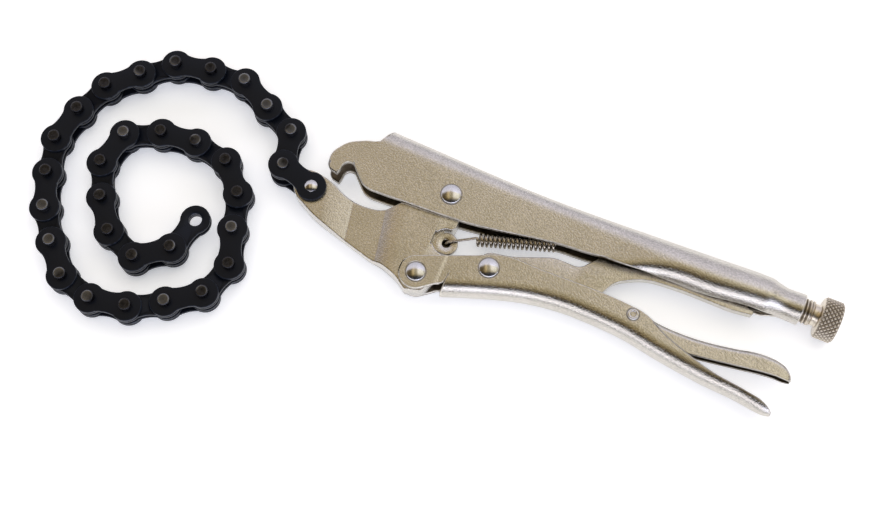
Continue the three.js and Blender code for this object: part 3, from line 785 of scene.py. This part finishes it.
def makeJaw(plan=jawPlan):
    # ruled between the top and bottom outlines as far as the spring ear's recess
    count, rows = plan["along"], plan["across"]
    top, bottom = evenly(roundedPath(plan["top"]), count), evenly(roundedPath(plan["bottom"]), count)
    u = np.linspace(0, 1, rows)[:, None, None]
    flat = (1 - u) * top[None] + u * bottom[None]
    x, y = flat[..., 0], flat[..., 1]
    # how far a point is from the nose and from both outlines; the rims are rounded by it
    stepAlong = np.linalg.norm(np.diff(flat, axis=1), axis=2)
    stepAcross = np.linalg.norm(np.diff(flat, axis=0), axis=2)
    alongRun = np.concatenate([np.zeros((rows, 1)), np.cumsum(stepAlong, 1)], 1)
    acrossRun = np.concatenate([np.zeros((1, count)), np.cumsum(stepAcross, 0)], 0)
    near = np.minimum.reduce([alongRun + 0.02, acrossRun, acrossRun[-1:] - acrossRun])
    soft = plan["soft"]
    short = 1 - np.clip(near / soft, 0, 1)
    z = jawHeight(x, y) - soft * (1 - np.sqrt(1 - short ** 2))
    front = np.stack([x, y, z], -1)
    shell = Shell()
    grid = gridFaces(rows, count)
    rim = np.concatenate([np.arange(count), (np.arange(1, rows) + 1) * count - 1,
                          np.arange(count * rows - 2, count * (rows - 1) - 1, -1),
                          np.arange(rows - 2, 0, -1) * count])
    total = rows * count
    sides = np.stack([rim, np.roll(rim, -1), np.roll(rim, -1) + total, rim + total], 1)
    quads = np.concatenate([grid[:, ::-1], grid + total, sides])
    shell.add(np.concatenate([front, front * [1, 1, -1]]), quads)
    forged = blastedNickel("blastedNickelJaw", rougher=0.02)
    shell.piece("jawBody", "jaw", [forged], ["lower_jaw"])
    ear, scoop = plan["ear"], plan["scoop"]
    corners = Shell()
    above = np.vstack([arc(ear, scoop, 150, 95, 20), plan["above"]])
    below = np.vstack([arc(ear, scoop, 210, 265, 20)[::-1], plan["below"]])
    # a hair thinner than the body it runs into, so that no two faces lie in one plane
    high = plan["half"] - plan["hair"]
    for block in (above, below):
        outline = evenly(block, 300, closed=True)
        after = np.roll(outline, -1, 0)
        area = np.sum(outline[:, 0] * after[:, 1] - outline[:, 1] * after[:, 0])
        slab(corners, outline if area > 0 else outline[::-1], -high, high, 0.5)
    corners.piece("jawHeel", "jaw", [forged])
    # the ear: a thinner round tab with a hole, a bridge to the body, and a dark disc low in the hole:
    # painted shade, where the hole would look dark
    tab = Shell()
    half, bore = plan["earHalf"], plan["earHole"]
    outline = evenly(arc(ear, plan["earRadius"], -70, 250, 60), 90, closed=True)
    slab(tab, outline, -half, half, 0.35, hole=(ear, bore))
    bridge = evenly(roundedPath(plan["bridge"], True), 60, closed=True)
    slab(tab, bridge, -half + plan["hair"], half - plan["hair"], 0.2)
    # painted shade: a dark disc low in the hole, in the inside-shade material
    turnedSurface(tab, [(bore + 0.1, -1.3), (bore + 0.1, -0.9)], (*ear, 0), 24, slot=1)
    tab.piece("springEar", "jaw", [forged, channelInsideShade])


makeJaw()
print("jaw made")

# toggle link, release lever and spring tab

blastedNickelLink = blastedNickel("blastedNickelLink")

linkPlan = {
    "half": 2.0, "soft": 0.45,
    "outline": [(19.4, -24, 5), (22.5, -16.4, 4), (33, -14.6, 3), (50, -7.9, 3), (61.4, -8.2, 3),
                (66.2, -2, 2), (72, 4, 4), (86, 8.5, 5), (131, 10.5, 1), (131, 2.4, 1), (134, 2, 0.5),
                (134, -0.2, 0.5), (125, -1.3, 2), (104, -1, 8), (88, -2.2, 6), (76.6, -8.6, 4),
                (71.5, -19.5, 3), (61, -24, 5), (34, -29.6, 4), (26, -32, 4), (20.2, -29.6, 4)],
}


def makeLink(plan=linkPlan):
    # a stamped strut: the outline carried up its edge
    shell = Shell()
    outline = evenly(roundedPath(plan["outline"], True), 420, closed=True)[::-1]
    slab(shell, outline, -plan["half"], plan["half"], plan["soft"])
    shell.piece("toggleLink", "link", [blastedNickelLink], ["toggle_link"])


leverPlan = {
    "wall": 1.4, "rim": 0.25, "stations": 120, "columns": {"cheek": 9, "fold": 11},
    "top": [(80, -17.4), (86, -16.7), (92, -16.6), (99.5, -18), (108, -18.5), (116.6, -18.2),
            (125, -17.2), (133, -15.8), (140, -14.3), (146, -13.9), (151, -14.5), (154.5, -16.0),
            (156.4, -17.9), (157.2, -19.2)],
    "open": [(80, -23.6), (86, -24.8), (100, -26.4), (107, -26.5), (114, -25.9), (125, -24.4), (135, -22.9),
             (145, -21.4), (151, -20.9), (154.5, -21.0), (157.2, -20.9)],
    "halves": [(80, 3.2), (110, 3.3), (125, 3.3), (140, 3.3), (150, 3.2), (154.5, 2.8), (156.4, 2.1),
               (157.2, 1.3)],
}


def makeLever(plan=leverPlan):
    # a small folded channel, its fold towards the screw
    x = np.linspace(80, 157.2, plan["stations"])
    half = throughKnots(x, plan["halves"])
    stations = {
        "x": x, "leg": throughKnots(x, plan["open"]), "back": throughKnots(x, plan["top"]), "half": half,
        "corner": half * 0.7, "tall": 1.0, "curl": np.zeros(len(x)), "lean": np.zeros(len(x)),
        "wall": np.interp(x, [80, 148, 157.2], [1, 1, 0.3]),
    }
    materials = [blastedNickel("blastedNickelLever"), channelInsideShade, cutEdgeDullAndShaded, rubbedEdgeHighlight]
    channelPiece("releaseLever", "lever", ["release_lever"], materials, None, stations, plan["columns"],
                 plan["wall"], plan["rim"])


tabPlan = {
    "half": 1.5, "soft": 0.2,
    "outline": [(60, 0.5, 0.4), (62, 0.5, 0.4), (62, 14.5, 0.3), (60, 14.5, 0.3)],
}


def makeSpringTab(plan=tabPlan):
    # the tongue inside the upper handle that the spring's rear hook holds
    shell = Shell()
    outline = evenly(roundedPath(plan["outline"], True), 60, True)
    slab(shell, outline, -plan["half"], plan["half"], plan["soft"])
    shell.piece("springTab", "frame", [blastedNickelLink])


makeLink()
makeLever()
makeSpringTab()
print("link and lever made")

# rivets

rivetPlan = {
    "crown": 1.35, "edge": 0.1,
    "solid": [("mainRivet", "main_rivet", "frame", 4.1, 6.5),
              ("jawRivet", "jaw_rivet", "handle", 3.9, 6.5),
              ("linkRivet", "link_rivet", "handle", 4.0, 6.5),
              ("noseRivet", "nose_link_rivet", "nose_link", 2.9, 5.4)],
    "places": {"mainRivet": mainPivot, "jawRivet": jawPivot, "linkRivet": linkPivot,
               "noseRivet": nosePivot},
    "overhang": 0.15,
    # the release lever's hollow rivet, with a plain pin inside it
    "bore": 1.15, "rim": 2.4, "half": 6.5, "bead": 0.55, "pin": [(1.1, -4.4), (1.1, 4.4)],
}


def makeRivets(plan=rivetPlan):
    # Solid heads are flattened domes: the height falls with the square of the distance from the
    # middle. The hollow rivet is a tube whose two ends are rolled over into a round bead.
    edge, crown = plan["edge"], plan["crown"]
    share = np.linspace(1, 0.02, 14)
    for name, node, body, shank, half in plan["solid"]:
        radius = shank + plan["overhang"]
        dome = [(radius * r, half + edge + (crown - edge) * (1 - r * r)) for r in share]
        top = [(radius, half), (radius, half + edge * 0.6), *dome]
        shell = Shell()
        x, y = plan["places"][name]
        turnedSurface(shell, [(r, -z) for r, z in reversed(top)] + top, (x, y, 0), 64)
        shell.piece(name, body, [polished], [node], "bright_nickel")
    bore, rim, half = plan["bore"], plan["rim"], plan["half"]
    turn = np.radians(np.linspace(-10, 180, 14))
    bead = [((rim + bore) / 2 + (rim - bore) / 2 * math.cos(a), half - 0.1 + plan["bead"] * math.sin(a))
            for a in turn]
    shell = Shell()
    turnedRing(shell, [(r, -z) for r, z in bead] + bead[::-1], (*leverPivot, 0), 48)
    turnedSurface(shell, plan["pin"], (*leverPivot, 0), 24)
    shell.piece("leverRivet", "handle", [polished], ["release_lever_rivet"], "bright_nickel")


makeRivets()
print("rivets made")

# adjusting screw and knob

screwPlan = {
    "axis": 10.7, "radius": 5.4, "threadStart": 137.4, "threadEnd": 156.0, "pitch": 1.5, "depth": 0.55,
    "knobRadius": 8.9, "knobStart": 159.4, "knobEnd": 167.5, "chamfer": 0.9, "teeth": 27,
    "lead": 2.1, "cut": 0.6,
    # (radius, x) of the chamfered tip and of the collar under the knob
    "nose": [(2.7, 135.0), (3.1, 135.3)], "collar": [(4.65, 158.4), (5.0, 158.9), (5.0, 159.1)],
}


def aroundScrew(name, body, node, along, radius, crest, axis):
    # One turned piece on the screw's axis, from its radius at each (x, angle), closed at both ends
    rows, sides = radius.shape
    angle = np.linspace(0, 2 * np.pi, sides, endpoint=False)
    points = np.stack([np.repeat(along[:, None], sides, 1), radius * np.cos(angle) + axis,
                       radius * np.sin(angle)], -1)
    shell = Shell()
    shell.add(points, gridFaces(rows, sides, closeColumns=True), 0, crest, endCaps(rows, sides))
    shell.piece(name, body, [knurled], [node])


def makeScrew(plan=screwPlan):
    # Thread: the radius falls from the crest to the root and back once in each pitch, and the
    # crest moves on by one pitch in each turn; it fades out at the tip and before the shoulder.
    sides = 72
    x = np.arange(plan["threadStart"], plan["threadEnd"] + 1.6, 0.125)
    angle = np.linspace(0, 2 * np.pi, sides, endpoint=False)
    turn = (x[:, None] / plan["pitch"] - angle[None, :] / (2 * np.pi)) % 1
    valley = 1 - np.abs(2 * turn - 1)
    fade = np.clip((plan["threadEnd"] - x) / 0.8, 0, 1)[:, None]
    neck = 0.75 * np.clip((x - plan["threadEnd"]) / 0.6, 0, 1)[:, None]
    dip = plan["depth"] * np.clip(valley * 1.5 - 0.25, 0, 1) * fade
    noseRadius, noseX = np.array(plan["nose"]).T
    collarRadius, collarX = np.array(plan["collar"]).T
    radius = np.vstack([np.repeat(noseRadius[:, None], sides, 1), plan["radius"] - dip - neck,
                        np.repeat(collarRadius[:, None], sides, 1)])
    along = np.concatenate([noseX, x, collarX])
    # the crest share also goes to the colour, where the thread's roots get painted shade
    crest = np.vstack([np.ones((len(noseX), sides)), 1 - dip / plan["depth"] * 0.9,
                       np.ones((len(collarX), sides))])
    aroundScrew("adjustingScrew", "screw", "adjusting_screw", along, radius, crest, plan["axis"])


def makeKnob(plan=screwPlan):
    # Diamond knurl: two families of V grooves that wind opposite ways; the depth at a point is
    # that of the nearer groove, and it fades to nothing over the chamfers.
    sides = plan["teeth"] * 10
    chamfer = plan["chamfer"]
    x = np.arange(plan["knobStart"], plan["knobEnd"] + 0.01, 0.15)
    angle = np.linspace(0, 2 * np.pi, sides, endpoint=False)
    around = plan["teeth"] * angle[None, :] / (2 * np.pi)
    shift = (x[:, None] - plan["knobStart"]) / plan["lead"]
    crest = np.minimum(np.abs(2 * ((around + shift) % 1) - 1), np.abs(2 * ((around - shift) % 1) - 1))
    crest = np.clip(crest * 1.5, 0, 1)
    edge = np.minimum(x - plan["knobStart"], plan["knobEnd"] - x)[:, None]
    outer = plan["knobRadius"] - np.clip(chamfer - edge, 0, chamfer) * 0.9
    show = np.clip(edge / 0.5, 0, 1)
    radius = outer - plan["cut"] * (1 - crest) * show
    aroundScrew("screwKnob", "knob", "screw_knob", x, radius, np.maximum(crest, 1 - show), plan["axis"])


knurled = knurledNickel()
makeScrew()
makeKnob()
print("screw and knob made")

# return spring

springPlan = {
    "radius": 2.45, "wire": 0.56, "turns": 18, "start": (17.0, -12.6), "end": (49.0, -2.1),
    "ear": (5.8, -19.6), "tab": (60, 1.2),
}


def wireTube(shell, path, radius, sides=10):
    # Round wire: a circle carried along the path, square to it, with its ends closed
    along = np.gradient(path, axis=0)
    along /= np.linalg.norm(along, axis=1)[:, None]
    side = np.cross(along, [0.13, 0.21, 0.97])
    side /= np.linalg.norm(side, axis=1)[:, None]
    up = np.cross(along, side)
    angle = np.linspace(0, 2 * np.pi, sides, endpoint=False)[None, :, None]
    points = path[:, None] + radius * (np.cos(angle) * side[:, None] + np.sin(angle) * up[:, None])
    caps = [cap[::-1] for cap in endCaps(len(path), sides)]
    shell.add(points, gridFaces(len(path), sides, closeColumns=True)[:, ::-1], caps=caps)


def makeSpring(plan=springPlan):
    # Lead-in through the ear's hole, a round coil about the line from start to end, and a tail
    # hooked over the tab; the wire is one run, stretched between the two bodies it holds.
    start, end = np.array([*plan["start"], 0]), np.array([*plan["end"], 0])
    axis = (end - start) / np.linalg.norm(end - start)
    side = np.array([-axis[1], axis[0], 0])
    t = np.linspace(0, 1, plan["turns"] * 20)[:, None]
    turn = 2 * np.pi * plan["turns"] * t
    circle = np.cos(turn) * np.array([0, 0, 1]) - np.sin(turn) * side
    coil = start + (end - start) * t + plan["radius"] * circle
    ex, ey = plan["ear"]
    tx, ty = plan["tab"]
    lead = [(ex + 2.2, ey + 0.6, -2.2), (ex + 0.5, ey + 0.2, -2.4), (ex - 0.3, ey, -0.6),
            (ex - 0.2, ey + 0.1, 1.2), (ex + 0.9, ey + 0.9, 2.3), (ex + 4.2, ey + 2.8, 2.5),
            (ex + 8.4, ey + 5.2, 2.5), tuple(coil[0])]
    tail = [tuple(coil[-1]), (tx - 6, ty - 1.4, 2.3), (tx + 1, ty + 0.6, 2.3), (tx + 2.8, ty + 1.2, 1.4)]
    path = np.vstack([evenly(smoothRun(lead), 50)[:-1], coil, evenly(smoothRun(tail), 30)[1:]])
    shell = Shell()
    wireTube(shell, path, plan["wire"])
    spring = shell.piece("returnSpring", None, [springSteel()], ["return_spring"], "spring_steel")
    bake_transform(spring)


makeSpring()
print("spring made")

# chain

chainPlan = {
    "pitch": 15.875, "lobe": 6.4, "waist": 4.5, "plate": 1.5, "half": 4.0, "gap": 0.3, "rounding": 0.32,
    "pin": 2.54, "pinHalf": 7.1, "eye": 2.84, "bush": 3.7, "links": 30,
}


def plateOutline(plan=chainPlan):
    # Two lobes about the pins, joined by a hollow curve that is narrowest halfway
    reach, open_ = plan["pitch"], 52
    first = arc((0, 0), plan["lobe"], open_, 360 - open_, 44)
    second = arc((reach, 0), plan["lobe"], 180 + open_, 540 - open_, 44)
    x0, y0 = first[-1]
    x1 = reach - x0
    t = np.linspace(0, 1, 14)[1:-1]
    x = x0 + (x1 - x0) * t
    lowest = plan["waist"]
    y = -(lowest + (abs(y0) - lowest) * (2 * t - 1) ** 2)
    lower = np.stack([x, y], 1)
    upper = (lower * [1, -1])[::-1]
    return np.vstack([first, lower, second, upper])


def pinProfile(plan=chainPlan):
    # a chamfered end with a slightly hollow face, and its mirror image below
    radius, half = plan["pin"], plan["pinHalf"]
    cap = [(radius, half - 0.45), (radius - 0.12, half - 0.15), (radius - 0.45, half),
           (radius - 0.9, half - 0.06), (0.2, half - 0.1)]
    return [(r, -z) for r, z in reversed(cap)] + cap


def makeChain(plan=chainPlan):
    # Each link is drawn along x from its first pin, then turned towards the next link's pin
    outline = plateOutline()
    plates, pins = blackOxide(), temperedPin()
    spots = [nosePivot] + [jointAt(f"chain_pin_{k:02d}") for k in range(1, plan["links"] + 1)]
    # the free end has no joint, so it is found from the middle of the last link
    low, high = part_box(f"chain_inner_link_{plan['links']:02d}")
    lastMiddle = ((np.array(low) + np.array(high)) / 2 - toolOrigin)[:2] / mm
    spots.append(2 * lastMiddle - spots[-1])
    outerHigh = plan["half"]
    outerLow = outerHigh - plan["plate"]
    innerHigh = outerLow - plan["gap"]
    innerLow = innerHigh - plan["plate"]
    noseLow = outerHigh + plan["gap"]
    noseHigh = noseLow + plan["plate"]
    # edge share of the pin profile: 1 at the rim of each end, where the pin material paints a highlight
    edge = [0, 0.2, 1, 0.4, 0, 0, 0.4, 1, 0.2, 0]
    for k in range(plan["links"] + 1):
        run = spots[k + 1] - spots[k]
        turn, at = math.atan2(run[1], run[0]), spots[k]
        shell = Shell()
        if k == 0:
            for name, sign in (("top", 1), ("bottom", -1)):
                side = Shell()
                slab(side, outline, *sorted((sign * noseLow, sign * noseHigh)), plan["rounding"])
                side.piece(f"noseLink{name.capitalize()}", "nose_link", [plates, pins],
                           [f"nose_link_{name}"], "black_oxide", turn, at)
            continue
        if k % 2:
            name, node = f"outerLink{k:02d}", f"chain_outer_link_{k:02d}"
            slab(shell, outline, outerLow, outerHigh, plan["rounding"])
            slab(shell, outline, -outerHigh, -outerLow, plan["rounding"])
            for x in (0, plan["pitch"]):
                turnedSurface(shell, pinProfile(), (x, 0, 0), 32, slot=1, edge=edge)
        else:
            name, node = f"innerLink{k:02d}", f"chain_inner_link_{k:02d}"
            hole = ((plan["pitch"], 0), plan["eye"])
            slab(shell, outline, innerLow, innerHigh, plan["rounding"], hole=hole)
            slab(shell, outline, -innerHigh, -innerLow, plan["rounding"], hole=hole)
            eye, bush = plan["eye"], plan["bush"]
            wall = [(eye, -innerLow), (bush, -innerLow), (bush, innerLow), (eye, innerLow)]
            for x in (0, plan["pitch"]):
                turnedRing(shell, wall, (x, 0, 0), slot=1)
        shell.piece(name, f"chain_{k:02d}", [plates, pins], [node], "black_oxide", turn, at)


makeChain()
print("chain made")
